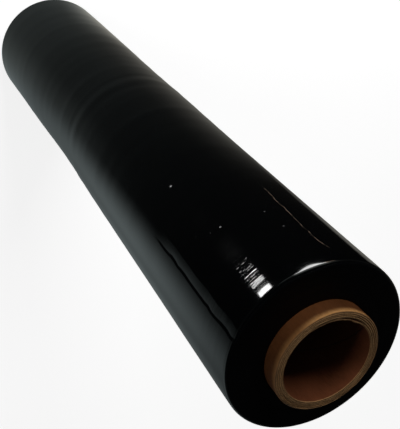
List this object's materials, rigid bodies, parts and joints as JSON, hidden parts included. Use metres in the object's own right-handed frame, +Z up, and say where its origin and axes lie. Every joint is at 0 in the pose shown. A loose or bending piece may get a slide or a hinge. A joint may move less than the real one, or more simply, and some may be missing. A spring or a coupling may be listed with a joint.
{
  "type": "stretch wrap roll",
  "caption": "Roll of black stretch film wound on a brown paperboard core tube, standing on its end; the core's bore takes a dispenser or handle.",
  "frame": {"origin": "centre of the core's lower end face, on the surface the roll stands on", "axes": "+Z up along the roll's axis; the roll is round, so X and Y are equivalent apart from the film's loose end, which lies near -Y"},
  "size_m": [0.1032, 0.1032, 0.521],
  "materials": {
    "core_board": "unbleached brown board with the spiral seam of the outer ply showing; paler cut ends with ply lines",
    "stretch_film": "glossy black film pulled tight in many turns, soft reflections, fine lines round the roll"
  },
  "bodies": {
    "root": {"core_tube": "core_board", "film_winding": "stretch_film"}
  },
  "joints": []
}
